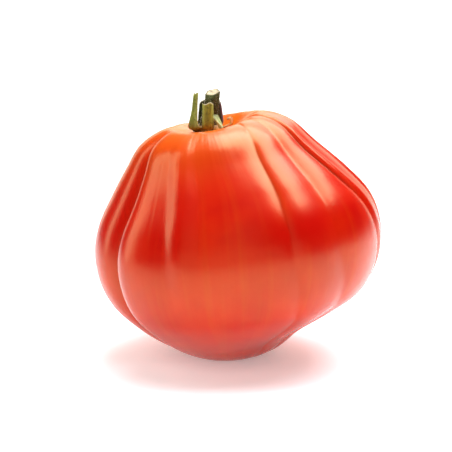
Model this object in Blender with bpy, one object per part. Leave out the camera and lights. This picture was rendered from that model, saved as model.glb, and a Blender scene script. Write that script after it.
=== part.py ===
"""A pleated oxheart tomato with the cut stub of its stalk and its trimmed sepals.

Lengths are in metres and angles in degrees. +Z is up, the viewer's side is -Y, and the
origin is under the middle of the tomato, on the surface that it rests on. An azimuth
runs anticlockwise from +X, seen from above; a polar angle runs from the stalk, at 0,
over the belly, at 90, to the blossom end, at 180.
"""

import bmesh
import bpy
import numpy as np

# The fruit's outline down the left side and down the right side, from the stalk to the
# blossom end, as (x, z). The nth points of the lists are the ends of a tilted oval section.
LEFT_OUTLINE = (
    (-0.0106, 0.0819),
    (-0.0182, 0.0819),
    (-0.0267, 0.0795),
    (-0.0343, 0.0743),
    (-0.0392, 0.0663),
    (-0.0441, 0.0572),
    (-0.0489, 0.0470),
    (-0.0507, 0.0368),
    (-0.0489, 0.0264),
    (-0.0440, 0.0175),
    (-0.0354, 0.0098),
    (-0.0256, 0.0037),
    (-0.0150, -0.0001),
    (-0.0020, -0.0026),
)
RIGHT_OUTLINE = (
    (-0.0106, 0.0819),
    (-0.0019, 0.0846),
    (0.0082, 0.0866),
    (0.0180, 0.0838),
    (0.0268, 0.0765),
    (0.0378, 0.0675),
    (0.0460, 0.0588),
    (0.0499, 0.0482),
    (0.0494, 0.0370),
    (0.0445, 0.0263),
    (0.0357, 0.0192),
    (0.0232, 0.0110),
    (0.0135, 0.0028),
    (-0.0020, -0.0026),
)
DEPTH_SHARE = 0.92  # how deep a section is, as a share of its width
CROWN_NOD = 0.0017  # how much lower the crown is towards the viewer
CROWN_NOD_POLARS = (8.0, 26.0, 60.0)  # where that starts, is greatest and ends

# The flat seat that the stalk's foot has on the crown, and the slope up to the shoulders
STALK_X = -0.0106
SEAT_HEIGHT = 0.0794
SEAT_RADIUS = 0.0070
SEAT_POLAR = 90.0  # only the skin above this can be part of the seat
SLOPE_RADIUS = 0.0060

# How a crease runs: its half-width before and after its line and how round its floor is, in
# degrees, how soft its sides are (1 is a sharp crease and 2 a smooth valley), the raised rim
# beside it as (height as a share of the depth, how far on, half-width), and its share of its
# full depth at equal steps from the stalk to the blossom end
CREASE_KINDS = {
    "fold": {
        "widths": (8.0, 6.0),
        "round": 0.8,
        "soft": 1.0,
        "rim": (0.08, 11.0, 7.0),
        "along": (0.0, 0.2, 0.9, 1.0, 0.85, 0.4, 0.0),
    },
    "pleat": {
        "widths": (10.0, 4.5),
        "round": 0.0,
        "soft": 2.0,
        "rim": (0.0, 0.0, 1.0),
        "along": (0.0, 0.0, 0.6, 1.0, 0.1, 0.0, 0.0),
    },
    "dip": {
        "widths": (6.0, 14.0),
        "round": 0.0,
        "soft": 2.0,
        "rim": (0.0, 0.0, 1.0),
        "along": (0.0, 0.0, 1.0, 0.8, 0.0, 0.0, 0.0),
    },
    "valley": {
        "widths": (9.0, 9.0),
        "round": 0.0,
        "soft": 2.0,
        "rim": (0.0, 0.0, 1.0),
        "along": (0.0, 0.3, 1.0, 1.0, 0.3, 0.1, 0.0),
    },
    "groove": {
        "widths": (4.0, 2.2),
        "round": 0.8,
        "soft": 1.0,
        "rim": (0.0, 0.0, 1.0),
        "along": (0.0, 0.35, 1.0, 0.9, 0.8, 0.4, 0.0),
    },
    "furrow": {
        "widths": (9.0, 6.0),
        "round": 1.0,
        "soft": 1.2,
        "rim": (0.0, 0.0, 1.0),
        "along": (0.0, 0.35, 1.0, 0.8, 0.7, 0.4, 0.0),
    },
    "rear": {
        "widths": (6.0, 6.0),
        "round": 1.5,
        "soft": 1.0,
        "rim": (0.0, 0.0, 1.0),
        "along": (0.0, 0.1, 0.8, 1.0, 0.8, 0.4, 0.0),
    },
    "slit": {
        "widths": (2.2, 1.6),
        "round": 0.4,
        "soft": 1.0,
        "rim": (0.3, 3.5, 2.0),
        "along": (0.0, 0.4, 1.0, 0.5, 0.4, 0.3, 0.0),
    },
}

# One row for each crease: its azimuth at each of the polar angles below, its full depth
# and its kind
CREASES = (
    ((200.0, 209.0, 207.0, 208.0), 0.0080, "fold"),
    ((232.0, 238.0, 241.0, 244.0), 0.0012, "pleat"),
    ((257.0, 257.0, 256.0, 256.0), 0.0012, "dip"),
    ((306.0, 294.0, 291.0, 297.0), 0.0009, "groove"),
    ((322.0, 315.0, 312.0, 322.0), 0.0016, "furrow"),
    ((338.0, 331.0, 341.0, 350.0), 0.0013, "slit"),
    ((360.0, 355.0, 352.0, 360.0), 0.0009, "slit"),
    ((380.0, 379.0, 381.0, 386.0), 0.0024, "rear"),
    ((400.0, 401.0, 406.0, 408.0), 0.0030, "rear"),
    ((420.0, 424.0, 428.0, 430.0), 0.0020, "rear"),
    ((446.0, 449.0, 452.0, 453.0), 0.0026, "rear"),
    ((474.0, 477.0, 480.0, 481.0), 0.0024, "valley"),
    ((503.0, 506.0, 508.0, 509.0), 0.0030, "rear"),
)
CREASE_POLARS = (15.0, 55.0, 95.0, 135.0)

COLUMNS_PER_LOBE = 7
ROWS = 44
LOBE_EASING = 0.4  # how much closer the columns stand to a lobe's two creases
LEAST_LENGTH = 1e-12  # what the shortest vector is divided by at the two poles

# The calyx: a low hub on the seat, and the cut sepals that grow from it
GAP = 0.0003
HUB_RADIUS = 0.0048
HUB_HEIGHT = 0.0018
HUB_EDGE_STEEPNESS = 1.6
HUB_COLUMNS = 20
HUB_ROWS = 16

# Each sepal: its azimuth, its width at the foot and at the cut, its thickness, how far its
# edges turn in, and its path as (distance from the stalk, height over the calyx's foot)
SEPALS = (
    {
        "azimuth": 222.0,
        "widths": (0.0046, 0.0016),
        "thickness": 0.0014,
        "turned_in": 0.0004,
        "path": ((0.0042, 0.0008), (0.0062, 0.0020), (0.0063, 0.0080), (0.0058, 0.0130)),
    },
    {
        "azimuth": 274.0,
        "widths": (0.0044, 0.0036),
        "thickness": 0.0015,
        "turned_in": 0.0004,
        "path": ((0.0040, 0.0008), (0.0051, 0.0022), (0.0050, 0.0060), (0.0048, 0.0094)),
    },
    {
        "azimuth": 112.0,
        "widths": (0.0038, 0.0026),
        "thickness": 0.0013,
        "turned_in": 0.0003,
        "path": ((0.0038, 0.0008), (0.0047, 0.0024), (0.0046, 0.0064), (0.0042, 0.0100)),
    },
    {
        "azimuth": 42.0,
        "widths": (0.0040, 0.0030),
        "thickness": 0.0013,
        "turned_in": 0.0003,
        "path": ((0.0042, 0.0008), (0.0057, 0.0026), (0.0056, 0.0066), (0.0051, 0.0102)),
    },
    {
        "azimuth": 312.0,
        "widths": (0.0040, 0.0026),
        "thickness": 0.0012,
        "turned_in": 0.0003,
        "path": ((0.0040, 0.0008), (0.0052, 0.0018), (0.0056, 0.0036), (0.0054, 0.0052)),
    },
    {
        "azimuth": 350.0,
        "widths": (0.0024, 0.0009),
        "thickness": 0.0008,
        "turned_in": 0.0001,
        "path": ((0.0040, 0.0010), (0.0062, 0.0018), (0.0074, 0.0036), (0.0084, 0.0028)),
    },
)
SEPAL_COLUMNS = 10
SEPAL_ROWS = 16

# The cut stalk: the height of its top, and its radius from the foot to the cut
STALK_HEIGHT = 0.0943
STALK_LEAN = 0.0020  # how far along +X its top stands from its foot
STALK_RADII = (0.0029, 0.0026, 0.0025, 0.0026, 0.0024, 0.0024)
STALK_RIBS = 5
RIB_SHARE = 0.07  # how far the ribs stand out, as a share of the radius
CUT_RISE = (0.14, 0.28)  # how steeply the cut rises along +X and +Y
STALK_COLUMNS = 20
STALK_ROWS = 24

CAP_ROWS = 2  # how many rows of a ball close each flat end of a sepal or of the stalk


def remove_everything():
    for obj in list(bpy.data.objects):
        bpy.data.objects.remove(obj)


def smooth_step(x, start, end):
    t = np.clip((x - start) / (end - start), 0.0, 1.0)
    return t * t * (3.0 - 2.0 * t)


def curve_through(points, share):
    """The smooth curve through some points, at shares of its run from 0 to 1."""
    points = np.array(points)
    last = len(points) - 1
    at = np.clip(share, 0.0, 1.0) * last
    first = np.minimum(at.astype(int), last - 1)
    t = (at - first)[..., None]
    a, b, c, d = (points[np.clip(first + k, 0, last)] for k in (-1, 0, 1, 2))
    return b + 0.5 * t * (c - a + t * (2 * a - 5 * b + 4 * c - d + t * (3 * (b - c) + d - a)))


def moved_ball(name, columns, rows, place):
    """A closed mesh: a ball with its points moved to place(column, polar angle)."""
    bm = bmesh.new()
    bmesh.ops.create_uvsphere(bm, u_segments=columns, v_segments=rows, radius=1.0)
    ball = np.array([vert.co for vert in bm.verts])
    polar = np.degrees(np.arccos(np.clip(ball[:, 2], -1.0, 1.0)))
    turn = np.arctan2(ball[:, 1], ball[:, 0]) / (2 * np.pi)
    column = np.round(turn * columns).astype(int) % columns
    for vert, point in zip(bm.verts, place(column, polar), strict=True):
        vert.co = point
    mesh = bpy.data.meshes.new(name)
    bm.to_mesh(mesh)
    bm.free()
    mesh.shade_smooth()
    return mesh


def plain_skin(azimuth, polar):
    """Points of the body before its creases and its seat are let in."""
    left = curve_through(LEFT_OUTLINE, polar / 180.0)
    right = curve_through(RIGHT_OUTLINE, polar / 180.0)
    middle, half = (left + right) / 2, (right - left) / 2
    turn = np.radians(azimuth)
    x = middle[..., 0] + half[..., 0] * np.cos(turn)
    y = half[..., 0] * np.sin(turn) * DEPTH_SHARE
    start, most, end = CROWN_NOD_POLARS
    nod = smooth_step(polar, start, most) * (1.0 - smooth_step(polar, most, end))
    z = middle[..., 1] + half[..., 1] * np.cos(turn)
    z = z - CROWN_NOD * nod * np.minimum(np.sin(turn), 0.0) ** 2
    return np.stack([x, y, z], axis=-1)


def crease_azimuth(crease, polar):
    first, last = CREASE_POLARS[0], CREASE_POLARS[-1]
    points = [(angle,) for angle in crease[0]]
    return curve_through(points, (polar - first) / (last - first))[..., 0]


def crease_depth(azimuth, polar):
    """How far all the creases together draw the skin in."""
    total = np.zeros_like(polar)
    for crease in CREASES:
        depth = crease[1]
        kind = CREASE_KINDS[crease[2]]
        steps = [(share,) for share in kind["along"]]
        share = np.maximum(curve_through(steps, polar / 180.0)[..., 0], 0.0)
        away = (azimuth - crease_azimuth(crease, polar) + 180.0) % 360.0 - 180.0
        sharp = np.sqrt(away**2 + kind["round"] ** 2) - kind["round"]
        width = np.where(away < 0.0, *kind["widths"])
        rim, rim_place, rim_width = kind["rim"]
        profile = np.exp(-((sharp / width) ** kind["soft"]))
        profile -= rim * np.exp(-(((away - rim_place) / rim_width) ** 2))
        total += depth * share * profile
    return total


def skin(azimuth, polar):
    """Points of the finished skin."""
    step = 0.5  # degrees between two points that show which way the skin faces
    here = plain_skin(azimuth, polar)
    along = plain_skin(azimuth + step, polar) - here
    down = plain_skin(azimuth, polar + step) - here
    inward = np.cross(along, down)
    inward /= np.maximum(np.linalg.norm(inward, axis=-1, keepdims=True), LEAST_LENGTH)
    points = here + inward * crease_depth(azimuth, polar)[..., None]
    from_stalk = np.hypot(points[..., 0] - STALK_X, points[..., 1])
    seat = np.exp(-((np.maximum(from_stalk - SEAT_RADIUS, 0.0) / SLOPE_RADIUS) ** 2))
    seat = np.where(polar < SEAT_POLAR, seat, 0.0)
    points[..., 2] += seat * (SEAT_HEIGHT - points[..., 2])
    return points


def lobe_azimuths(column, columns_per_lobe, polar):
    """Where the columns of points stand: each lobe's own spread between its two creases."""
    share = column % columns_per_lobe / columns_per_lobe
    share = share - LOBE_EASING * np.sin(2 * np.pi * share) / (2 * np.pi)
    lines = [crease_azimuth(crease, polar) for crease in CREASES]
    lines.append(lines[0] + 360.0)
    start = np.choose(column // columns_per_lobe, lines[:-1])
    after = np.choose(column // columns_per_lobe, lines[1:])
    return start + share * (after - start)


def fruit_mesh(columns_per_lobe=COLUMNS_PER_LOBE, rows=ROWS):
    def place(column, polar):
        points = skin(lobe_azimuths(column, columns_per_lobe, polar), polar)
        points[:, 2] = np.maximum(points[:, 2], 0.0)
        return points

    return moved_ball("fruit", columns_per_lobe * len(CREASES), rows, place)


def run_and_cap(polar, rows):
    """How far along a rod each row of a ball stands, from 0 to 1, and its share of the width."""
    row = polar * rows / 180.0
    run = 1.0 - np.clip((row - CAP_ROWS) / (rows - 2 * CAP_ROWS), 0.0, 1.0)
    return run, np.clip(np.minimum(row, rows - row) / CAP_ROWS, 0.0, 1.0)


def hub_mesh():
    def place(column, polar):
        turn, tilt = 2 * np.pi * column / HUB_COLUMNS, np.radians(polar)
        height = np.clip(np.cos(tilt) * HUB_EDGE_STEEPNESS, 0.0, 1.0) * HUB_HEIGHT
        out = HUB_RADIUS * np.sin(tilt)
        return np.stack([out * np.cos(turn), out * np.sin(turn), height], axis=-1)

    return moved_ball("hub", HUB_COLUMNS, HUB_ROWS, place)


def sepal_mesh(sepal):
    azimuth = np.radians(sepal["azimuth"])
    outward = np.array([np.cos(azimuth), np.sin(azimuth), 0.0])
    sideways = np.array([-np.sin(azimuth), np.cos(azimuth), 0.0])
    upward = np.array([0.0, 0.0, 1.0])
    foot_width, cut_width = sepal["widths"]
    step = 0.01  # the share of the path between two points that show which way it runs

    def place(column, polar):
        run, cap = run_and_cap(polar, SEPAL_ROWS)
        path = curve_through(sepal["path"], run)
        ahead = curve_through(sepal["path"], run + step)
        ahead -= curve_through(sepal["path"], run - step)
        ahead /= np.linalg.norm(ahead, axis=-1, keepdims=True)
        turn = 2 * np.pi * column / SEPAL_COLUMNS
        side = cap * np.cos(turn)
        face = cap * np.sin(turn) * sepal["thickness"] / 2 - sepal["turned_in"] * side**2
        side = side * (foot_width + (cut_width - foot_width) * run) / 2
        out = path[..., 0] + face * ahead[..., 1]
        up = path[..., 1] - face * ahead[..., 0]
        return np.outer(out, outward) + np.outer(side, sideways) + np.outer(up, upward)

    return moved_ball("sepal", SEPAL_COLUMNS, SEPAL_ROWS, place)


def stalk_mesh(foot_height):
    cut_height = STALK_HEIGHT - STALK_RADII[-1] * np.hypot(*CUT_RISE)

    def place(column, polar):
        run, cap = run_and_cap(polar, STALK_ROWS)
        turn = 2 * np.pi * column / STALK_COLUMNS
        radius = curve_through([(r,) for r in STALK_RADII], run)[..., 0] * cap
        radius *= 1.0 + RIB_SHARE * np.cos(STALK_RIBS * turn + run)
        x, y = radius * np.cos(turn), radius * np.sin(turn)
        up = run * (cut_height - foot_height + CUT_RISE[0] * x + CUT_RISE[1] * y)
        return np.stack([x + STALK_LEAN * run, y, up], axis=-1)

    return moved_ball("stalk", STALK_COLUMNS, STALK_ROWS, place)


def joined_mesh(body, pieces):
    """The mesh of a body joined with the pieces that grow from it."""
    group = bpy.data.collections.new("pieces")
    bpy.context.scene.collection.children.link(group)
    for piece in pieces:
        group.objects.link(piece)
    union = body.modifiers.new("union", "BOOLEAN")
    union.operation = "UNION"
    union.operand_type = "COLLECTION"
    union.collection = group
    graph = bpy.context.evaluated_depsgraph_get()
    mesh = bpy.data.meshes.new_from_object(body.evaluated_get(graph))
    for piece in [body, *pieces]:
        bpy.data.objects.remove(piece)
    bpy.data.collections.remove(group)
    return mesh


def calyx_mesh():
    hub = bpy.data.objects.new("hub", hub_mesh())
    bpy.context.scene.collection.objects.link(hub)
    sepals = [bpy.data.objects.new("sepal", sepal_mesh(sepal)) for sepal in SEPALS]
    return joined_mesh(hub, sepals)


def material(name, colour, roughness):
    made = bpy.data.materials.new(name)
    made.use_nodes = True
    shader = made.node_tree.nodes["Principled BSDF"]
    shader.inputs["Base Color"].default_value = (*colour, 1.0)
    shader.inputs["Roughness"].default_value = roughness
    shader.inputs["Metallic"].default_value = 0.0
    return made


def part(name, mesh, location, look, group, parent):
    mesh.name = name
    mesh.materials.clear()
    mesh.materials.append(look)
    obj = bpy.data.objects.new(name, mesh)
    obj.location = location
    obj.parent = parent
    group.objects.link(obj)
    return obj


def main():
    remove_everything()
    group = bpy.data.collections.new("tomato")
    bpy.context.scene.collection.children.link(group)
    fruit = fruit_mesh()
    spread = np.array([vert.co for vert in fruit.vertices])
    middle = (spread.min(axis=0) + spread.max(axis=0)) / 2
    tomato = bpy.data.objects.new("tomato", None)
    tomato.location = (-middle[0], -middle[1], 0.0)
    group.objects.link(tomato)

    red = material("red_skin", (0.70, 0.045, 0.010), 0.25)
    green = material("sepal_green", (0.16, 0.14, 0.020), 0.6)
    brown = material("stalk_green", (0.045, 0.042, 0.014), 0.7)
    calyx_height = SEAT_HEIGHT + GAP
    stalk_foot = calyx_height + HUB_HEIGHT + GAP
    part("fruit", fruit, (0.0, 0.0, 0.0), red, group, tomato)
    part("calyx", calyx_mesh(), (STALK_X, 0.0, calyx_height), green, group, tomato)
    part("stalk", stalk_mesh(stalk_foot), (STALK_X, 0.0, stalk_foot), brown, group, tomato)


main()
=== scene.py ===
import math

import bmesh
import bpy
import numpy as np
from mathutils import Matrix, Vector


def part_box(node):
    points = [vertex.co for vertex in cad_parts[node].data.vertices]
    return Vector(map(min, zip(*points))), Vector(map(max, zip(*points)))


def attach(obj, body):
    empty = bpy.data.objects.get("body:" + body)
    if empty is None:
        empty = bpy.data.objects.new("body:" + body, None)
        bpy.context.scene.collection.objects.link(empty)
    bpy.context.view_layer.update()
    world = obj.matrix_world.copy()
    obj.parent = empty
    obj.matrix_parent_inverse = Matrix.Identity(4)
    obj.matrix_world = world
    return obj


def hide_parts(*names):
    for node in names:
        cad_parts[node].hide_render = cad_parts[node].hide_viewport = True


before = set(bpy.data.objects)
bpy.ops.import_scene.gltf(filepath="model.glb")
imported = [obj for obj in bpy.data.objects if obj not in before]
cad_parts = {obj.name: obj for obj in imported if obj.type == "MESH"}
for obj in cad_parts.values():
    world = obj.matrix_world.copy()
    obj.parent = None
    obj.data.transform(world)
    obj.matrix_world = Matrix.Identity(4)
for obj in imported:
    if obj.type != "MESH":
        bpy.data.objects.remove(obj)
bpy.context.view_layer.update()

fruitLow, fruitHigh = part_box("fruit")
print("frame loaded")


# shared tools

def smoothStep(x, start, end):
    t = np.clip((x - start) / (end - start), 0.0, 1.0)
    return t * t * (3.0 - 2.0 * t)


def curveThrough(points, share):  # the smooth curve through some points, at shares from 0 to 1
    points = np.array(points)
    last = len(points) - 1
    at = np.clip(share, 0.0, 1.0) * last
    first = np.minimum(at.astype(int), last - 1)
    t = at - first
    if points.ndim > 1:
        t = t[..., None]
    a, b, c, d = (points[np.clip(first + k, 0, last)] for k in (-1, 0, 1, 2))
    return b + 0.5 * t * (c - a + t * (2 * a - 5 * b + 4 * c - d + t * (3 * (b - c) + d - a)))


def ballFaces(columns, rows):  # always in the same order, so that each run gives the same
    faces = []
    for row in range(rows):
        above, under = 1 + (row - 1) * columns, 1 + row * columns  # where its two rings start
        for column in range(columns):
            beside = (column + 1) % columns
            if row == 0:
                faces.append((0, under + column, under + beside))
            elif row == rows - 1:
                faces.append((above + column, under, above + beside))
            else:
                faces.append((above + column, under + column, under + beside, above + beside))
    return faces


def ballMesh(name, columns, rows, place):  # a ball moved to place(column, polar), with marks
    ring, column = np.divmod(np.arange(columns * (rows - 1)), columns)
    column = np.concatenate([[0], column, [0]])
    polar = np.concatenate([[0.0], (ring + 1) * 180.0 / rows, [180.0]])
    points, marks = place(column, polar)
    mesh = bpy.data.meshes.new(name)
    mesh.from_pydata(points.tolist(), [], ballFaces(columns, rows))
    for label, values in marks.items():
        setMark(mesh, label, values)
    mesh.update()
    mesh.shade_smooth()
    return mesh


def setMark(mesh, label, values):  # a value or a vector at every point, for nodes to read
    flat = values.ndim == 1
    mark = mesh.attributes.new(label, "FLOAT" if flat else "FLOAT_VECTOR", "POINT")
    mark.data.foreach_set("value" if flat else "vector", values.astype(np.float32).ravel())


def addNode(tree, kind, settings=(), inputs=()):
    node = tree.nodes.new(kind)
    for label, value in dict(settings).items():
        setattr(node, label, value)
    for label, value in dict(inputs).items():
        if isinstance(value, bpy.types.NodeSocket):
            tree.links.new(value, node.inputs[label])
        else:
            node.inputs[label].default_value = value
    return node


def newTree(name, sockets):  # a geometry tree with named inputs
    tree = bpy.data.node_groups.new(name, "GeometryNodeTree")
    for label, kind in (("Geometry", "Geometry"), *sockets):
        tree.interface.new_socket(label, in_out="INPUT", socket_type="NodeSocket" + kind)
    tree.interface.new_socket("Geometry", in_out="OUTPUT", socket_type="NodeSocketGeometry")
    return tree, addNode(tree, "NodeGroupInput").outputs


def endTree(tree, shape, finish):  # every tree ends in real geometry with its finish
    real = addNode(tree, "GeometryNodeRealizeInstances", (), {"Geometry": shape})
    smooth = addNode(tree, "GeometryNodeSetShadeSmooth", (), {"Geometry": real.outputs[0]})
    given = {"Geometry": smooth.outputs[0], "Material": finish}
    painted = addNode(tree, "GeometryNodeSetMaterial", (), given)
    addNode(tree, "NodeGroupOutput", (), {"Geometry": painted.outputs[0]})
    return tree


def grow(name, mesh, tree, values):  # the plain mesh that a tree makes of a mesh
    obj = bpy.data.objects.new(name, mesh)
    bpy.context.scene.collection.objects.link(obj)
    modifier = obj.modifiers.new(tree.name, "NODES")
    modifier.node_group = tree
    for socket in tree.interface.items_tree:
        if socket.in_out == "INPUT" and socket.name in values:
            modifier[socket.identifier] = values[socket.name]
    graph = bpy.context.evaluated_depsgraph_get()
    grown = bpy.data.meshes.new_from_object(obj.evaluated_get(graph), depsgraph=graph)
    obj.modifiers.clear()
    obj.data = grown
    grown.name = name
    return obj


def makeReliefTree():  # lets the pleats in and lays a slow natural unevenness over them
    sockets = (
        ("Pleats", "Float"), ("Relief", "Float"), ("Grain", "Float"),
        ("Stretch", "Vector"), ("Seed", "Float"), ("Finish", "Material"),
    )
    tree, given = newTree("naturalRelief", sockets)
    place = addNode(tree, "GeometryNodeInputPosition").outputs[0]
    stretched = addNode(tree, "ShaderNodeVectorMath", {"operation": "MULTIPLY"},
                        {0: place, 1: given["Stretch"]}).outputs[0]
    noise = addNode(tree, "ShaderNodeTexNoise", {"noise_dimensions": "4D"}, {
        "Vector": stretched, "W": given["Seed"], "Scale": given["Grain"], "Detail": 2.0,
    }).outputs[0]
    level = addNode(tree, "ShaderNodeMath", {"operation": "SUBTRACT"},
                    {0: noise, 1: 0.5}).outputs[0]
    height = addNode(tree, "ShaderNodeMath", {"operation": "MULTIPLY"},
                     {0: level, 1: given["Relief"]}).outputs[0]
    normal = addNode(tree, "GeometryNodeInputNormal").outputs[0]
    bumps = addNode(tree, "ShaderNodeVectorMath", {"operation": "SCALE"},
                    {0: normal, "Scale": height}).outputs[0]
    pleat = addNode(tree, "GeometryNodeInputNamedAttribute", {"data_type": "FLOAT_VECTOR"},
                    {"Name": "pleat"}).outputs[0]
    folds = addNode(tree, "ShaderNodeVectorMath", {"operation": "SCALE"},
                    {0: pleat, "Scale": given["Pleats"]}).outputs[0]
    folded = addNode(tree, "GeometryNodeSetPosition", (),
                     {"Geometry": given["Geometry"], "Offset": folds}).outputs[0]
    uneven = addNode(tree, "GeometryNodeSetPosition", (),
                     {"Geometry": folded, "Offset": bumps}).outputs[0]
    return endTree(tree, uneven, given["Finish"])


def makeHairTree():  # short hairs that stand out of a surface
    sockets = (
        ("Density", "Float"), ("Length", "Float"), ("Shortest", "Float"),
        ("Thickness", "Float"), ("Tilt", "Float"), ("Seed", "Int"), ("Finish", "Material"),
    )
    tree, given = newTree("shortHairs", sockets)
    spread = addNode(tree, "GeometryNodeDistributePointsOnFaces", (), {
        "Mesh": given["Geometry"], "Density": given["Density"], "Seed": given["Seed"],
    })
    hair = addNode(tree, "GeometryNodeMeshCone", {"fill_type": "NONE"}, {
        "Vertices": 3, "Radius Top": 0.0, "Radius Bottom": given["Thickness"],
        "Depth": given["Length"],
    })
    low = addNode(tree, "ShaderNodeMath", {"operation": "MULTIPLY"},
                  {0: given["Tilt"], 1: -1.0}).outputs[0]
    lowest = addNode(tree, "ShaderNodeCombineXYZ", (), {"X": low, "Y": low}).outputs[0]
    highest = addNode(tree, "ShaderNodeCombineXYZ", (),
                      {"X": given["Tilt"], "Y": given["Tilt"]}).outputs[0]
    lean = addNode(tree, "FunctionNodeRandomValue", {"data_type": "FLOAT_VECTOR"},
                   {"Min": lowest, "Max": highest, "Seed": given["Seed"]}).outputs[0]
    turn = addNode(tree, "FunctionNodeRotateRotation", {"rotation_space": "LOCAL"},
                   {"Rotation": spread.outputs["Rotation"], "Rotate By": lean}).outputs[0]
    size = addNode(tree, "FunctionNodeRandomValue", {"data_type": "FLOAT"},
                   {2: given["Shortest"], 3: 1.0, "Seed": given["Seed"]}).outputs[1]
    hairs = addNode(tree, "GeometryNodeInstanceOnPoints", (), {
        "Points": spread.outputs["Points"], "Instance": hair.outputs["Mesh"],
        "Rotation": turn, "Scale": size,
    }).outputs[0]
    return endTree(tree, hairs, given["Finish"])


def newMaterial(name, values):  # a Principled shader with its constant values set
    material = bpy.data.materials.new(name)
    material.use_nodes = True
    shader = material.node_tree.nodes["Principled BSDF"]
    for label, value in values.items():
        shader.inputs[label].default_value = value
    return material, material.node_tree, shader


def readMark(tree, label):
    mark = addNode(tree, "ShaderNodeAttribute", {"attribute_name": label})
    return mark.outputs["Vector"], mark.outputs["Fac"]


def noiseOn(tree, vector, scale, detail=2.0):
    return addNode(tree, "ShaderNodeTexNoise", (),
                   {"Vector": vector, "Scale": scale, "Detail": detail}).outputs[0]


def between(tree, value, low, high):  # 0 at low and 1 at high, eased
    return addNode(tree, "ShaderNodeMapRange", {"interpolation_type": "SMOOTHSTEP"},
                   {"Value": value, "From Min": low, "From Max": high}).outputs[0]


def times(tree, a, b):
    return addNode(tree, "ShaderNodeMath", {"operation": "MULTIPLY"}, {0: a, 1: b}).outputs[0]


def blend(tree, share, a, b):  # from colour a to colour b
    return addNode(tree, "ShaderNodeMix", {"data_type": "RGBA"},
                   {0: share, 6: a, 7: b}).outputs[2]


# the fruit

fruitForm = {
    "leftOutline": (  # from the stalk to the blossom end, as (x, z)
        (-0.0106, 0.0819), (-0.0182, 0.0819), (-0.0267, 0.0795), (-0.0343, 0.0743),
        (-0.0392, 0.0663), (-0.0441, 0.0572), (-0.0489, 0.0470), (-0.0507, 0.0368),
        (-0.0489, 0.0264), (-0.0440, 0.0175), (-0.0354, 0.0098), (-0.0256, 0.0037),
        (-0.0150, -0.0001), (-0.0020, -0.0026),
    ),
    "rightOutline": (
        (-0.0106, 0.0819), (-0.0019, 0.0846), (0.0082, 0.0866), (0.0180, 0.0838),
        (0.0268, 0.0765), (0.0378, 0.0675), (0.0460, 0.0588), (0.0499, 0.0482),
        (0.0494, 0.0370), (0.0445, 0.0263), (0.0357, 0.0192), (0.0232, 0.0110),
        (0.0135, 0.0028), (-0.0020, -0.0026),
    ),
    "depthShare": 0.92,  # how deep a section is, as a share of its width
    "crownNod": 0.0017,  # how much lower the crown is towards the viewer
    "crownNodPolars": (8.0, 26.0, 60.0),  # where that starts, is most and ends
    "stalkX": -0.0106,
    "seatHeight": 0.0794,  # the flat seat of the stalk's foot
    "seatRadius": 0.0070,
    "slopeRadius": 0.0060,  # how far the dip round it reaches
    "columnsPerLobe": 24,
    "rows": 200,
    "lobeEasing": 0.4,  # how much closer the columns stand beside a crease
    "veinWidth": 3.0,  # how wide the orange lines and the painted shade lines in the creases are, in degrees
    "shadeWidth": 0.9,
    "shadeEnd": (65.0, 95.0),  # the polar angles over which the painted shade lines fade
    "shadePatches": (  # deeper red patches of painted shade, along the fold, in the valleys and on the right: azimuth, polar, how far round and down they reach
        (235.0, 97.0, 7.0, 14.0), (250.0, 76.0, 6.0, 18.0), (286.0, 88.0, 12.0, 9.0),
        (303.0, 86.0, 10.0, 11.0), (204.0, 60.0, 10.0, 40.0),
    ),
    "relief": {  # the slow unevenness of the skin: its height and how fine it is
        "Pleats": 1.0, "Relief": 0.00022, "Grain": 55.0, "Stretch": (1.0, 1.0, 0.6), "Seed": 4.0,
    },
}

# how a crease runs: its half-width before and after its line and how round its floor is, in
# degrees, how soft its sides are (1 is a sharp crease and 2 a smooth valley), its share of its
# full depth at equal steps from the stalk to the blossom end, the raised rim beside it as
# (height as a share of the depth, how far on, half-width), how orange its line is, and how
# much painted shade darkens its line
creaseKinds = {
    "fold": {"widths": (8.0, 6.0), "round": 0.8, "soft": 1.0, "rim": (0.08, 11.0, 7.0),
             "along": (0.0, 0.2, 0.9, 1.0, 0.85, 0.4, 0.0), "vein": 0.0, "shade": 0.3},
    "pleat": {"widths": (10.0, 4.5), "round": 0.0, "soft": 2.0, "rim": (0.0, 0.0, 1.0),
              "along": (0.0, 0.0, 0.6, 1.0, 0.1, 0.0, 0.0), "vein": 0.0, "shade": 0.0},
    "dip": {"widths": (6.0, 14.0), "round": 0.0, "soft": 2.0, "rim": (0.0, 0.0, 1.0),
            "along": (0.0, 0.0, 1.0, 0.8, 0.0, 0.0, 0.0), "vein": 0.0, "shade": 0.0},
    "valley": {"widths": (9.0, 9.0), "round": 0.0, "soft": 2.0, "rim": (0.0, 0.0, 1.0),
               "along": (0.0, 0.3, 1.0, 1.0, 0.3, 0.1, 0.0), "vein": 0.0, "shade": 0.0},
    "groove": {"widths": (4.0, 2.2), "round": 0.8, "soft": 1.0, "rim": (0.0, 0.0, 1.0),
               "along": (0.0, 0.35, 1.0, 0.9, 0.8, 0.4, 0.0), "vein": 1.0, "shade": 0.5},
    "furrow": {"widths": (9.0, 6.0), "round": 1.0, "soft": 1.2, "rim": (0.0, 0.0, 1.0),
               "along": (0.0, 0.35, 1.0, 0.8, 0.7, 0.4, 0.0), "vein": 0.5, "shade": 0.0},
    "rear": {"widths": (6.0, 6.0), "round": 1.5, "soft": 1.0, "rim": (0.0, 0.0, 1.0),
             "along": (0.0, 0.1, 0.8, 1.0, 0.8, 0.4, 0.0), "vein": 0.6, "shade": 0.4},
    "slit": {"widths": (2.2, 1.6), "round": 0.4, "soft": 1.0, "rim": (0.3, 3.5, 2.0),
             "along": (0.0, 0.4, 1.0, 0.5, 0.4, 0.3, 0.0), "vein": 0.0, "shade": 0.9},
}
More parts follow.
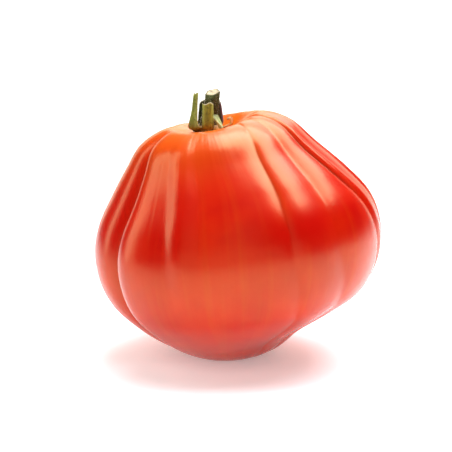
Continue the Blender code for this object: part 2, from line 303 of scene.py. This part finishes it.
creases = (  # the azimuth at each of the creasePolars, the full depth and the kind
    ((200.0, 209.0, 207.0, 208.0), 0.0080, "fold"),
    ((232.0, 238.0, 241.0, 244.0), 0.0012, "pleat"),
    ((257.0, 257.0, 256.0, 256.0), 0.0012, "dip"),
    ((306.0, 294.0, 291.0, 297.0), 0.0009, "groove"),
    ((322.0, 315.0, 312.0, 322.0), 0.0016, "furrow"),
    ((338.0, 331.0, 341.0, 350.0), 0.0013, "slit"),
    ((360.0, 355.0, 352.0, 360.0), 0.0009, "slit"),
    ((380.0, 379.0, 381.0, 386.0), 0.0024, "rear"),
    ((400.0, 401.0, 406.0, 408.0), 0.0030, "rear"),
    ((420.0, 424.0, 428.0, 430.0), 0.0020, "rear"),
    ((446.0, 449.0, 452.0, 453.0), 0.0026, "rear"),
    ((474.0, 477.0, 480.0, 481.0), 0.0024, "valley"),
    ((503.0, 506.0, 508.0, 509.0), 0.0030, "rear"),
)
creasePolars = (15.0, 55.0, 95.0, 135.0)
leastLength = 1e-12  # keeps the division whole at the two ends


def plainSkin(azimuth, polar):  # the body before its creases and its seat are let in
    left = curveThrough(fruitForm["leftOutline"], polar / 180.0)
    right = curveThrough(fruitForm["rightOutline"], polar / 180.0)
    middle, half = (left + right) / 2, (right - left) / 2
    turn = np.radians(azimuth)
    x = middle[:, 0] + half[:, 0] * np.cos(turn)
    y = half[:, 0] * np.sin(turn) * fruitForm["depthShare"]
    start, most, end = fruitForm["crownNodPolars"]
    nod = smoothStep(polar, start, most) * (1.0 - smoothStep(polar, most, end))
    z = middle[:, 1] + half[:, 1] * np.cos(turn)
    z = z - fruitForm["crownNod"] * nod * np.minimum(np.sin(turn), 0.0) ** 2
    return np.stack([x, y, z], axis=-1)


def creaseAzimuth(crease, polar):
    first, last = creasePolars[0], creasePolars[-1]
    return curveThrough(crease[0], (polar - first) / (last - first))


def creaseMarks(azimuth, polar):  # how far the creases draw the skin in, and their orange lines and painted shade lines
    depth = np.zeros_like(polar)
    vein = np.zeros_like(polar)
    shade = np.zeros_like(polar)
    for crease in creases:
        kind = creaseKinds[crease[2]]
        share = np.maximum(curveThrough(kind["along"], polar / 180.0), 0.0)
        away = (azimuth - creaseAzimuth(crease, polar) + 180.0) % 360.0 - 180.0
        sharp = np.sqrt(away**2 + kind["round"] ** 2) - kind["round"]
        width = np.where(away < 0.0, *kind["widths"])
        rim, rimPlace, rimWidth = kind["rim"]
        profile = np.exp(-((sharp / width) ** kind["soft"]))
        profile -= rim * np.exp(-(((away - rimPlace) / rimWidth) ** 2))
        depth += crease[1] * share * profile
        vein = np.maximum(vein, kind["vein"] * np.exp(-((away / fruitForm["veinWidth"]) ** 2)))
        line = share * np.exp(-((away / fruitForm["shadeWidth"]) ** 2))
        line *= 1.0 - smoothStep(polar, *fruitForm["shadeEnd"])
        shade = np.maximum(shade, kind["shade"] * line)
    return depth, vein, shade


def lobeAzimuths(column, polar):  # each lobe's columns spread between its two creases
    lobe, place = np.divmod(column, fruitForm["columnsPerLobe"])
    share = place / fruitForm["columnsPerLobe"]
    share = share - fruitForm["lobeEasing"] * np.sin(2 * np.pi * share) / (2 * np.pi)
    lines = [creaseAzimuth(crease, polar) for crease in creases]
    lines.append(lines[0] + 360.0)
    start = np.choose(lobe, lines[:-1])
    return start + share * (np.choose(lobe, lines[1:]) - start)


def placeFruit(column, polar):
    step = 0.5  # degrees
    azimuth = lobeAzimuths(column, polar)
    points = plainSkin(azimuth, polar)
    along = plainSkin(azimuth + step, polar) - points
    down = plainSkin(azimuth, polar + step) - points
    inward = np.cross(along, down)
    inward /= np.maximum(np.linalg.norm(inward, axis=-1, keepdims=True), leastLength)
    depth, vein, shade = creaseMarks(azimuth, polar)
    folded = points + inward * depth[:, None]
    fromStalk = np.hypot(folded[:, 0] - fruitForm["stalkX"], folded[:, 1])
    seat = np.maximum(fromStalk - fruitForm["seatRadius"], 0.0) / fruitForm["slopeRadius"]
    seat = np.where(polar < 90.0, np.exp(-(seat**2)), 0.0)
    folded[:, 2] += seat * (fruitForm["seatHeight"] - folded[:, 2])
    turn = np.radians(azimuth)
    # the deeper red patches of painted shade
    shadePatch = np.zeros_like(polar)
    for middle, height, around, reach in fruitForm["shadePatches"]:
        away = (azimuth - middle + 180.0) % 360.0 - 180.0
        shadePatch += np.exp(-((away / around) ** 2) - ((polar - height) / reach) ** 2)
    marks = {
        "pleat": folded - points,
        "crease": depth,
        "vein": vein,
        "shade": shade,
        "polar": polar / 180.0,
        "fromStalk": np.where(polar < 90.0, fromStalk, 1.0),
        "meridian": np.stack([np.cos(turn), np.sin(turn), polar / 180.0], axis=-1),
        "shadePatch": shadePatch,
    }
    return points, marks


skinLook = {
    "deepRed": (0.47, 0.001, 0.0003, 1.0),
    "red": (0.55, 0.010, 0.0004, 1.0),
    "orange": (0.60, 0.085, 0.003, 1.0),
    "shoulder": (0.64, 0.125, 0.006, 1.0),
    "cork": (0.30, 0.17, 0.06, 1.0),
    "shade": (0.20, 0.012, 0.002, 1.0),
    "mottleScale": 55.0,
    "mottleRange": (0.35, 0.70),  # the noise levels between red and deep red
    "streakScale": 16.0,
    "streakStretch": (1.0, 1.0, 0.12),  # streaks are drawn out from stalk to blossom end
    "streakRange": (0.45, 0.75),
    "streakShare": 0.12,
    "creaseShadeRange": (0.0012, 0.0060),  # how far in the skin lies where the painted crease shade turns it deep red
    "veinFade": (0.55, 0.35),  # these three are shares of the way to the blossom end
    "ridgeEnds": ((0.85, 0.60), (0.05, 0.20)),
    "scarRange": (0.985, 0.997),
    "veinShare": 0.3,
    "shoulderRange": (0.036, 0.010),  # these three are metres from the stalk
    "collarRange": (0.0088, 0.0070),
    "collarRaggedness": 0.0050,
    "shoulderShare": 0.9,
    "shadePatchShare": 0.85,
    "collarShare": 0.6,
    "ridgeScale": 14.0,
    "ridges": {"Strength": 0.2, "Distance": 0.0005},
    "fineScale": 900.0,
    "fine": {"Strength": 0.12, "Distance": 0.0002},
}


def makeSkin():
    material, tree, shader = newMaterial("tomatoSkin", {
        "Metallic": 0.0, "Roughness": 0.26, "IOR": 1.66, "Subsurface Weight": 0.10,
        "Subsurface Radius": (1.0, 0.22, 0.10), "Subsurface Scale": 0.003,
        "Specular Tint": (1.0, 0.82, 0.36, 1.0),
    })
    look = skinLook
    place = addNode(tree, "ShaderNodeTexCoord").outputs["Object"]
    meridian = readMark(tree, "meridian")[0]
    fromStalk, vein, crease, shadePatch, shade, polar = (
        readMark(tree, label)[1]
        for label in ("fromStalk", "vein", "crease", "shadePatch", "shade", "polar")
    )
    mottle = noiseOn(tree, place, look["mottleScale"], 4.0)
    squeezed = addNode(tree, "ShaderNodeMapping", {"vector_type": "POINT"},
                       {"Vector": meridian, "Scale": look["streakStretch"]}).outputs[0]
    streak = noiseOn(tree, squeezed, look["streakScale"], 5.0)
    colour = blend(tree, between(tree, mottle, *look["mottleRange"]), look["red"], look["deepRed"])
    orangeStreak = times(tree, between(tree, streak, *look["streakRange"]), look["streakShare"])
    colour = blend(tree, orangeStreak, colour, look["orange"])
    # painted shade: the skin turns deep red where it lies deep in a crease
    colour = blend(tree, between(tree, crease, *look["creaseShadeRange"]), colour, look["deepRed"])
    veinFade = times(tree, vein, between(tree, polar, *look["veinFade"]))
    colour = blend(tree, times(tree, veinFade, look["veinShare"]), colour, look["orange"])
    nearStalk = between(tree, fromStalk, *look["shoulderRange"])
    colour = blend(tree, times(tree, nearStalk, look["shoulderShare"]), colour, look["shoulder"])
    # painted shade: deeper red patches along the fold, in the valleys and on the right
    colour = blend(tree, times(tree, shadePatch, look["shadePatchShare"]), colour, look["deepRed"])
    # painted shade: the crease lines darken towards the shade colour
    colour = blend(tree, shade, colour, look["shade"])
    ragged = addNode(tree, "ShaderNodeMath", {"operation": "MULTIPLY_ADD"},
                     {0: streak, 1: look["collarRaggedness"], 2: fromStalk}).outputs[0]
    collar = between(tree, ragged, *look["collarRange"])
    colour = blend(tree, times(tree, collar, look["collarShare"]), colour, look["cork"])
    scar = between(tree, polar, *look["scarRange"])
    colour = blend(tree, scar, colour, look["cork"])
    tree.links.new(colour, shader.inputs["Base Color"])
    blossomEnd, stalkEnd = look["ridgeEnds"]
    ends = times(tree, between(tree, polar, *blossomEnd), between(tree, polar, *stalkEnd))
    ridges = times(tree, noiseOn(tree, squeezed, look["ridgeScale"]), ends)
    drawn = addNode(tree, "ShaderNodeBump", (), {**look["ridges"], "Height": ridges}).outputs[0]
    fine = noiseOn(tree, place, look["fineScale"], 3.0)
    bump = addNode(tree, "ShaderNodeBump", (),
                   {**look["fine"], "Height": fine, "Normal": drawn}).outputs[0]
    tree.links.new(bump, shader.inputs["Normal"])
    return material


reliefTree = makeReliefTree()
fruitMesh = ballMesh("fruitSkin", fruitForm["columnsPerLobe"] * len(creases),
                     fruitForm["rows"], placeFruit)
fruit = grow("fruitSkin", fruitMesh, reliefTree, {**fruitForm["relief"], "Finish": makeSkin()})


def pointsOf(mesh):
    points = np.zeros(len(mesh.vertices) * 3)
    mesh.vertices.foreach_get("co", points)
    return points.reshape(-1, 3)


fruitPoints = pointsOf(fruit.data)
fruitPoints[:, 2] = np.maximum(fruitPoints[:, 2], 0.0)  # the flat spot that it rests on
ownLow, ownHigh = fruitPoints.min(axis=0), fruitPoints.max(axis=0)
fit = np.array(fruitHigh - fruitLow) / (ownHigh - ownLow)  # its finer faces bulge a little more
fit[2] = 1.0
shift = np.array(fruitLow + fruitHigh) / 2 - fit * (ownLow + ownHigh) / 2
shift[2] = 0.0
fruit.data.vertices.foreach_set("co", (fruitPoints * fit + shift).ravel())
fruit.data.update()
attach(fruit, "root")
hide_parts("fruit")
print("fruit made")


# the calyx

calyxForm = {
    "gap": 0.0003,  # between the fruit and the calyx
    "hubRadius": 0.0050,
    "hubHeight": 0.0019,
    "hubEdge": 1.6,  # how steep its edge is
    "hubLobes": ((5, 0.06, 0.6), (11, 0.03, 0.0)),  # how many, how much of the radius, the turn
    "hubTones": ((0.20, 0.09, 0.012), (0.42, 0.24, 0.06)),  # at its left and at its right
    "hubToneReach": (-0.2, 0.8),
    "columns": 28,
    "rows": 56,
    "capRows": 3,  # the rows that close each end, of the stalk too
    "veins": 3.0,  # how many ribs run along a sepal
    "veinHeight": 0.00012,
    "footReach": (0.1, 0.5),  # how far along a sepal its foot's tone gives way
    "edgeReach": (0.45, 0.95),  # how far across it the edge's tone comes in
    "cutReach": (0.95, 1.0),
    "cutShare": 0.6,
    "tearPower": 6,  # the tear bends only the last part of a blade
    "relief": {
        "Pleats": 0.0, "Relief": 0.00035, "Grain": 700.0, "Stretch": (1.0, 1.0, 0.35), "Seed": 2.0,
    },
}
nearlyWhole = 0.999  # a share above this counts as 1
axisFoot = np.array([fruitForm["stalkX"], 0.0, fruitForm["seatHeight"]]) + shift
calyxFoot = axisFoot + np.array([0.0, 0.0, calyxForm["gap"]])

# azimuth in degrees; widths and thicknesses from the foot to the cut; the path as (distance
# from the stalk, height); tear is how much longer the blade is from one edge to the other;
# tones are the colours of the foot, the middle, the edges and the cut
sepals = (
    {"azimuth": 222.0, "widths": (0.0040, 0.0056, 0.0040, 0.0026, 0.0020, 0.0020),
     "thickness": (0.0016, 0.0014, 0.0010), "turnedIn": 0.0006, "twist": 0.0,
     "path": ((0.0040, 0.0006), (0.0066, 0.0016), (0.0064, 0.0050), (0.0058, 0.0090),
              (0.0055, 0.0128)),
     "tear": (0.0004, -0.0006, -0.0004, 0.0002, 0.0006),
     "tones": ((0.16, 0.10, 0.008), (0.15, 0.18, 0.020), (0.20, 0.22, 0.05), (0.30, 0.31, 0.12))},
    {"azimuth": 274.0, "widths": (0.0042, 0.0040, 0.0038, 0.0038),
     "thickness": (0.0016, 0.0016, 0.0013), "turnedIn": 0.0005, "twist": 0.0,
     "path": ((0.0040, 0.0006), (0.0052, 0.0022), (0.0051, 0.0060), (0.0049, 0.0096)),
     "tear": (0.0002, -0.0003, 0.0002, 0.0005, -0.0002),
     "tones": ((0.22, 0.11, 0.010), (0.17, 0.15, 0.012), (0.26, 0.29, 0.05), (0.50, 0.44, 0.26))},
    # painted shade: this back sepal's near-black tones stand for the shadow behind the stalk
    {"azimuth": 112.0, "widths": (0.0038, 0.0036, 0.0030, 0.0028),
     "thickness": (0.0014, 0.0012, 0.0010), "turnedIn": 0.0004, "twist": 0.0,
     "path": ((0.0038, 0.0006), (0.0047, 0.0024), (0.0046, 0.0064), (0.0042, 0.0098)),
     "tear": (0.0010, 0.0004, 0.0000, -0.0004, -0.0010),
     "tones": ((0.05, 0.04, 0.01), (0.03, 0.045, 0.012), (0.05, 0.06, 0.02), (0.10, 0.09, 0.04))},
    # painted highlight: this sepal's purplish edge tone stands for highlights on its edges
    {"azimuth": 42.0, "widths": (0.0040, 0.0042, 0.0036, 0.0032),
     "thickness": (0.0014, 0.0013, 0.0010), "turnedIn": 0.0004, "twist": 0.0,
     "path": ((0.0042, 0.0006), (0.0058, 0.0026), (0.0056, 0.0066), (0.0051, 0.0102)),
     "tear": (-0.0012, -0.0006, 0.0000, 0.0004, 0.0006),
     "tones": ((0.06, 0.05, 0.015), (0.08, 0.065, 0.015), (0.16, 0.09, 0.10), (0.22, 0.18, 0.10))},
    # painted light: this sepal's pale tones stand for the light on its upper face
    {"azimuth": 312.0, "widths": (0.0034, 0.0032, 0.0026, 0.0018),
     "thickness": (0.0014, 0.0013, 0.0011), "turnedIn": 0.0003, "twist": 40.0,
     "path": ((0.0036, 0.0052), (0.0050, 0.0040), (0.0064, 0.0026), (0.0076, 0.0014)),
     "tear": (0.0004, 0.0002, 0.0000, -0.0002, -0.0004),
     "tones": ((0.16, 0.18, 0.06), (0.26, 0.30, 0.10), (0.34, 0.36, 0.16), (0.45, 0.38, 0.16))},
    {"azimuth": 350.0, "widths": (0.0016, 0.0013, 0.0012, 0.0010, 0.0008),
     "thickness": (0.0008, 0.0008, 0.0007), "turnedIn": 0.0001, "twist": 0.0,
     "path": ((0.0042, 0.0008), (0.0064, 0.0014), (0.0084, 0.0026), (0.0084, 0.0044),
              (0.0070, 0.0040)),
     "tear": (0.0, 0.0, 0.0, 0.0, 0.0),
     "tones": ((0.35, 0.18, 0.05), (0.48, 0.22, 0.08), (0.60, 0.33, 0.14), (0.20, 0.09, 0.03))},
)


def runAndCap(polar, rows):  # how far along each row stands, and its share of the width
    row = polar * rows / 180.0
    caps = calyxForm["capRows"]
    run = 1.0 - np.clip((row - caps) / (rows - 2 * caps), 0.0, 1.0)
    return run, np.clip(np.minimum(row, rows - row) / caps, 0.0, 1.0)


def sepalMesh(sepal):
    rows = calyxForm["rows"]
    azimuth = np.radians(sepal["azimuth"])
    outward = np.array([np.cos(azimuth), np.sin(azimuth), 0.0])
    sideways = np.array([-np.sin(azimuth), np.cos(azimuth), 0.0])
    upward = np.array([0.0, 0.0, 1.0])
    footTone, midTone, edgeTone, cutTone = (np.array(tone) for tone in sepal["tones"])
    step = 0.01  # of the way along the sepal

    def place(column, polar):
        run, cap = runAndCap(polar, rows)
        path = curveThrough(sepal["path"], run)
        ahead = curveThrough(sepal["path"], run + step) - curveThrough(sepal["path"], run - step)
        ahead /= np.linalg.norm(ahead, axis=-1, keepdims=True)
        turn = 2 * np.pi * column / calyxForm["columns"]
        side = cap * np.cos(turn)
        face = cap * np.sin(turn) * curveThrough(sepal["thickness"], run) / 2
        ribs = np.cos(side * np.pi * calyxForm["veins"]) * np.sign(np.sin(turn))
        face += calyxForm["veinHeight"] * ribs * np.abs(np.sin(turn)) * cap
        face -= sepal["turnedIn"] * side**2
        across = side * curveThrough(sepal["widths"], run) / 2
        spin = np.radians(sepal["twist"]) * run
        across, face = (across * np.cos(spin) - face * np.sin(spin),
                        across * np.sin(spin) + face * np.cos(spin))
        torn = curveThrough(sepal["tear"], (side + 1) / 2) * run ** calyxForm["tearPower"]
        out = path[:, 0] + face * ahead[:, 1] + torn * ahead[:, 0]
        up = path[:, 1] - face * ahead[:, 0] + torn * ahead[:, 1]
        points = np.outer(out, outward) + np.outer(across, sideways) + np.outer(up, upward)
        footShare = (1.0 - smoothStep(run, *calyxForm["footReach"]))[:, None]
        edgeShare = smoothStep(np.abs(side), *calyxForm["edgeReach"])[:, None]
        tone = midTone * (1 - edgeShare) + edgeTone * edgeShare
        tone = tone * (1 - footShare) + footTone * footShare
        nearCut = smoothStep(run, *calyxForm["cutReach"]) * calyxForm["cutShare"]
        cutShare = np.where(run > nearlyWhole, 1.0, nearCut)[:, None]
        tone = tone * (1 - cutShare) + cutTone * cutShare
        return points + calyxFoot, {"tone": tone}

    return ballMesh("sepal", calyxForm["columns"], rows, place)


def hubMesh():
    leftTone, rightTone = (np.array(tone) for tone in calyxForm["hubTones"])

    def place(column, polar):
        turn, tilt = 2 * np.pi * column / calyxForm["columns"], np.radians(polar)
        height = np.clip(np.cos(tilt) * calyxForm["hubEdge"], 0.0, 1.0) * calyxForm["hubHeight"]
        wobble = 1.0 + sum(share * np.cos(count * turn + start)
                           for count, share, start in calyxForm["hubLobes"])
        out = calyxForm["hubRadius"] * np.sin(tilt) * wobble
        points = np.stack([out * np.cos(turn), out * np.sin(turn), height], axis=-1)
        share = smoothStep(np.cos(turn), *calyxForm["hubToneReach"])[:, None]
        tone = leftTone * (1 - share) + rightTone * share
        return points + calyxFoot, {"tone": tone}

    return ballMesh("hub", calyxForm["columns"], calyxForm["rows"], place)


def joined(name, meshes):
    whole = bmesh.new()
    for mesh in meshes:
        whole.from_mesh(mesh)
        bpy.data.meshes.remove(mesh)
    mesh = bpy.data.meshes.new(name)
    whole.to_mesh(mesh)
    whole.free()
    return mesh


greenLook = {
    "stretch": (1.0, 1.0, 0.15),  # its streaks run upwards
    "streakRange": (0.35, 0.65),
    "spotRange": (0.50, 0.75),
    "light": 1.5,  # how much lighter the streaks and how much darker the spots are
    "dark": 0.35,
    "bumps": {"Strength": 0.5, "Distance": 0.0002},
}


def makeGreen(name, values, grain, speckle):  # the dry and green tissue, from its tone marks
    material, tree, shader = newMaterial(name, values)
    place = addNode(tree, "ShaderNodeTexCoord").outputs["Object"]
    tone = readMark(tree, "tone")[0]
    drawn = addNode(tree, "ShaderNodeMapping", {"vector_type": "POINT"},
                    {"Vector": place, "Scale": greenLook["stretch"]}).outputs[0]
    streak = noiseOn(tree, drawn, grain, 4.0)
    spots = noiseOn(tree, place, speckle, 3.0)
    dark = addNode(tree, "ShaderNodeVectorMath", {"operation": "SCALE"},
                   {0: tone, "Scale": greenLook["dark"]}).outputs[0]
    light = addNode(tree, "ShaderNodeVectorMath", {"operation": "SCALE"},
                    {0: tone, "Scale": greenLook["light"]}).outputs[0]
    colour = blend(tree, between(tree, streak, *greenLook["streakRange"]), tone, light)
    colour = blend(tree, between(tree, spots, *greenLook["spotRange"]), colour, dark)
    tree.links.new(colour, shader.inputs["Base Color"])
    height = addNode(tree, "ShaderNodeMath", {"operation": "ADD"},
                     {0: streak, 1: spots}).outputs[0]
    bump = addNode(tree, "ShaderNodeBump", (), {**greenLook["bumps"], "Height": height}).outputs[0]
    tree.links.new(bump, shader.inputs["Normal"])
    return material


sepalFinish = makeGreen("sepalTissue", {
    "Roughness": 0.62, "Specular IOR Level": 0.35, "Subsurface Weight": 0.08,
    "Subsurface Radius": (0.6, 1.0, 0.2), "Subsurface Scale": 0.0012,
}, grain=1400.0, speckle=1100.0)
calyxMesh = joined("calyx", [hubMesh(), *(sepalMesh(sepal) for sepal in sepals)])
calyx = grow("trimmedCalyx", calyxMesh, reliefTree,
             {**calyxForm["relief"], "Finish": sepalFinish})
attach(calyx, "root")
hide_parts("calyx")
print("calyx made")


# the stalk

stalkForm = {
    "top": 0.0938,
    "lean": 0.0020,  # how far along +X its top stands from its foot
    "radii": (0.0030, 0.0027, 0.0025, 0.0026, 0.0024, 0.0024),
    "ribs": 5,
    "ribShare": 0.09,
    "cutRise": (0.20, 0.34),  # how steeply the cut rises along +X and +Y
    "columns": 48,
    "rows": 90,
    "sinkInHub": 0.4,  # how much of the hub's height its foot stands in
    "tones": (  # at the foot, along the middle, at the rim and on the cut
        (0.07, 0.055, 0.012), (0.045, 0.042, 0.009), (0.06, 0.07, 0.02), (0.42, 0.36, 0.22),
    ),
    "pith": (0.30, 0.22, 0.12),
    "footReach": (0.0, 0.3),
    "rimReach": (0.75, 0.99),
    "pithReach": (0.0, 0.5),
    "relief": {
        "Pleats": 0.0, "Relief": 0.0009, "Grain": 420.0, "Stretch": (1.0, 1.0, 0.6), "Seed": 7.0,
    },
}
stalkFoot = calyxFoot[2] + calyxForm["hubHeight"] * (1.0 - stalkForm["sinkInHub"])


def placeStalk(column, polar):
    run, cap = runAndCap(polar, stalkForm["rows"])
    turn = 2 * np.pi * column / stalkForm["columns"]
    radius = curveThrough(stalkForm["radii"], run) * cap
    radius *= 1.0 + stalkForm["ribShare"] * np.cos(stalkForm["ribs"] * turn + run)
    x, y = radius * np.cos(turn), radius * np.sin(turn)
    rise = stalkForm["cutRise"]
    cutHeight = stalkForm["top"] - stalkForm["radii"][-1] * np.hypot(*rise)
    up = run * (cutHeight - stalkFoot + rise[0] * x + rise[1] * y)
    points = np.stack([x + stalkForm["lean"] * run, y, up], axis=-1)
    footTone, midTone, rimTone, cutTone = (np.array(tone) for tone in stalkForm["tones"])
    share = smoothStep(run, *stalkForm["footReach"])[:, None]
    tone = footTone * (1 - share) + midTone * share
    share = smoothStep(run, *stalkForm["rimReach"])[:, None]
    tone = tone * (1 - share) + rimTone * share
    onCut = ((run > nearlyWhole) & (cap < nearlyWhole))[:, None]
    pithShare = (1.0 - smoothStep(cap, *stalkForm["pithReach"]))[:, None]
    cut = cutTone * (1 - pithShare) + np.array(stalkForm["pith"]) * pithShare
    tone = np.where(onCut, cut, tone)
    return points + np.array([axisFoot[0], axisFoot[1], stalkFoot]), {"tone": tone}


stalkFinish = makeGreen("stalkBark", {"Roughness": 0.7, "Specular IOR Level": 0.3},
                        grain=900.0, speckle=800.0)
stalkMesh = ballMesh("stalk", stalkForm["columns"], stalkForm["rows"], placeStalk)
stalk = grow("cutStalk", stalkMesh, reliefTree, {**stalkForm["relief"], "Finish": stalkFinish})
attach(stalk, "root")
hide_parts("stalk")
print("stalk made")


# the hairs on the green parts

hairForm = {
    "density": 2.2e6,  # hairs to a square metre
    "length": 0.0007,
    "shortest": 0.4,  # as a share of the length
    "thickness": 0.00003,
    "tilt": 0.6,
    "seed": 11,
}
hairFinish = newMaterial("plantHair", {
    "Base Color": (0.62, 0.60, 0.42, 1.0), "Roughness": 0.6,
})[0]
hairTree = makeHairTree()
hairs = grow("stalkHairs", joined("hairy", [calyx.data.copy(), stalk.data.copy()]), hairTree, {
    "Density": hairForm["density"], "Length": hairForm["length"],
    "Shortest": hairForm["shortest"], "Thickness": hairForm["thickness"],
    "Tilt": hairForm["tilt"], "Seed": hairForm["seed"], "Finish": hairFinish,
})
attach(hairs, "root")
print("hairs made")


# the studio

studio = {
    "floorSize": 40.0,
    "floorDrop": 0.0001,  # how far it lies under the fruit
    "floorTone": (0.9, 0.9, 0.9, 1.0),
    "floorGlow": 0.36,  # how strongly the floor itself glows
    "glowRange": (-0.12, 0.07),  # it is weaker round the fruit, a painted soft shadow there: metres from the middle
    "farGlow": (0.6, 2.0),  # it grows behind the fruit, to farGlowShare
    "farGlowShare": 3.2,
    "glowFade": (-0.60, -0.10),  # it is weaker towards the front, down to glowFadeShare
    "glowFadeShare": 0.3,
    "sideAxis": (1.0, 0.5, 0.0),  # and down to sideFadeShare at the far left, along this line
    "sideFade": (-0.50, -0.16),
    "sideFadeShare": 0.35,
    "cameraTarget": (-0.0040, 0.0, 0.0462),
    "cameraDistance": 0.439,
    "cameraElevation": 11.0,
    "lens": 100.0,
    "worldGlow": 0.03,
    "lightTint": (1.0, 0.94, 0.90),
}
lights = (  # sizes in metres and power in watts; "shows" says whether gloss shows the light
    {"name": "topBox", "place": (0.135, 0.075, 0.50), "faces": (0.135, 0.075, 0.0),
     "size": (0.52, 0.39), "power": 5.2, "shows": True, "tint": (1.0, 0.95, 1.04)},
    {"name": "rearBox", "place": (0.15, 0.70, 0.50), "faces": (0.15, 0.70, 0.0),
     "size": (0.54, 0.88), "power": 3.9, "shows": True},
    {"name": "topFill", "place": (0.0, 0.10, 0.90), "faces": (0.0, 0.0, 0.0),
     "size": (0.9, 0.9), "power": 1.8, "shows": False},
    {"name": "backScreen", "place": (0.10, 1.40, 0.30), "faces": (0.10, 0.0, 0.30),
     "size": (2.6, 0.7), "power": 6.5, "shows": True, "tint": (1.0, 0.92, 0.66)},
    {"name": "leftStrip", "place": (-0.570, 0.005, 0.33), "faces": (0.0, 0.0, 0.05),
     "size": (0.20, 0.72), "power": 1.45, "shows": True},
    {"name": "frontCard", "place": (0.05, -1.20, 0.18), "faces": (0.05, 0.0, 0.18),
     "size": (2.4, 0.36), "power": 1.3, "shows": True},
    {"name": "frontFill", "place": (-0.10, -0.90, 0.60), "faces": (0.0, 0.0, 0.05),
     "size": (0.8, 0.8), "power": 3.9, "shows": False},
)


def addLight(values):
    light = bpy.data.lights.new(values["name"], "AREA")
    light.shape = "RECTANGLE"
    light.size, light.size_y = values["size"]
    light.energy = values["power"]
    light.color = values.get("tint", studio["lightTint"])
    obj = bpy.data.objects.new(values["name"], light)
    bpy.context.scene.collection.objects.link(obj)
    obj.location = values["place"]
    obj.visible_glossy = values["shows"]
    obj.visible_camera = False
    obj.rotation_mode = "QUATERNION"
    towards = Vector(values["faces"]) - Vector(values["place"])
    obj.rotation_quaternion = towards.to_track_quat("-Z", "Y")


def makeFloor():
    size = studio["floorSize"]
    sheet = bmesh.new()
    bmesh.ops.create_grid(sheet, x_segments=1, y_segments=1, size=size / 2)
    mesh = bpy.data.meshes.new("floor")
    sheet.to_mesh(mesh)
    sheet.free()
    floor = bpy.data.objects.new("floor", mesh)
    bpy.context.scene.collection.objects.link(floor)
    floor.location.z = -studio["floorDrop"]
    material, tree, shader = newMaterial("paleFloor", {
        "Base Color": studio["floorTone"], "Roughness": 0.9,
        "Emission Color": (1.0, 1.0, 1.0, 1.0),
    })
    place = addNode(tree, "ShaderNodeTexCoord").outputs["Object"]
    away = addNode(tree, "ShaderNodeVectorMath", {"operation": "LENGTH"},
                   {0: place}).outputs["Value"]
    front = addNode(tree, "ShaderNodeSeparateXYZ", (), {0: place}).outputs["Y"]
    side = addNode(tree, "ShaderNodeVectorMath", {"operation": "DOT_PRODUCT"},
                   {0: place, 1: studio["sideAxis"]}).outputs["Value"]
    # painted light: the floor glows though it is no lamp, and glows less round the fruit as a
    # painted soft shadow
    glow = times(tree, between(tree, away, *studio["glowRange"]), studio["floorGlow"])
    for where, reach, nearShare, farShare in (
        (front, studio["glowFade"], studio["glowFadeShare"], 1.0),
        (front, studio["farGlow"], 1.0, studio["farGlowShare"]),
        (side, studio["sideFade"], studio["sideFadeShare"], 1.0),
    ):
        share = addNode(tree, "ShaderNodeMapRange", {"interpolation_type": "SMOOTHSTEP"}, {
            "Value": where, "From Min": reach[0], "From Max": reach[1],
            "To Min": nearShare, "To Max": farShare,
        }).outputs[0]
        glow = times(tree, glow, share)
    tree.links.new(glow, shader.inputs["Emission Strength"])
    mesh.materials.append(material)
    return floor


def makeCamera():
    lens = bpy.data.cameras.new("camera")
    lens.lens = studio["lens"]
    lens.sensor_width = 36.0
    camera = bpy.data.objects.new("camera", lens)
    bpy.context.scene.collection.objects.link(camera)
    tilt = math.radians(studio["cameraElevation"])
    back = Vector((0.0, -math.cos(tilt), math.sin(tilt)))
    camera.location = Vector(studio["cameraTarget"]) + back * studio["cameraDistance"]
    camera.rotation_mode = "QUATERNION"
    camera.rotation_quaternion = (-back).to_track_quat("-Z", "Y")
    bpy.context.scene.camera = camera


def makeWorld():
    world = bpy.data.worlds.new("studioRoom")
    world.use_nodes = True
    glow = world.node_tree.nodes["Background"]
    glow.inputs["Color"].default_value = (1.0, 1.0, 1.0, 1.0)
    glow.inputs["Strength"].default_value = studio["worldGlow"]
    bpy.context.scene.world = world


makeFloor()
makeCamera()
makeWorld()
for values in lights:
    addLight(values)
bpy.context.scene.view_settings.view_transform = "Standard"
print("studio made")
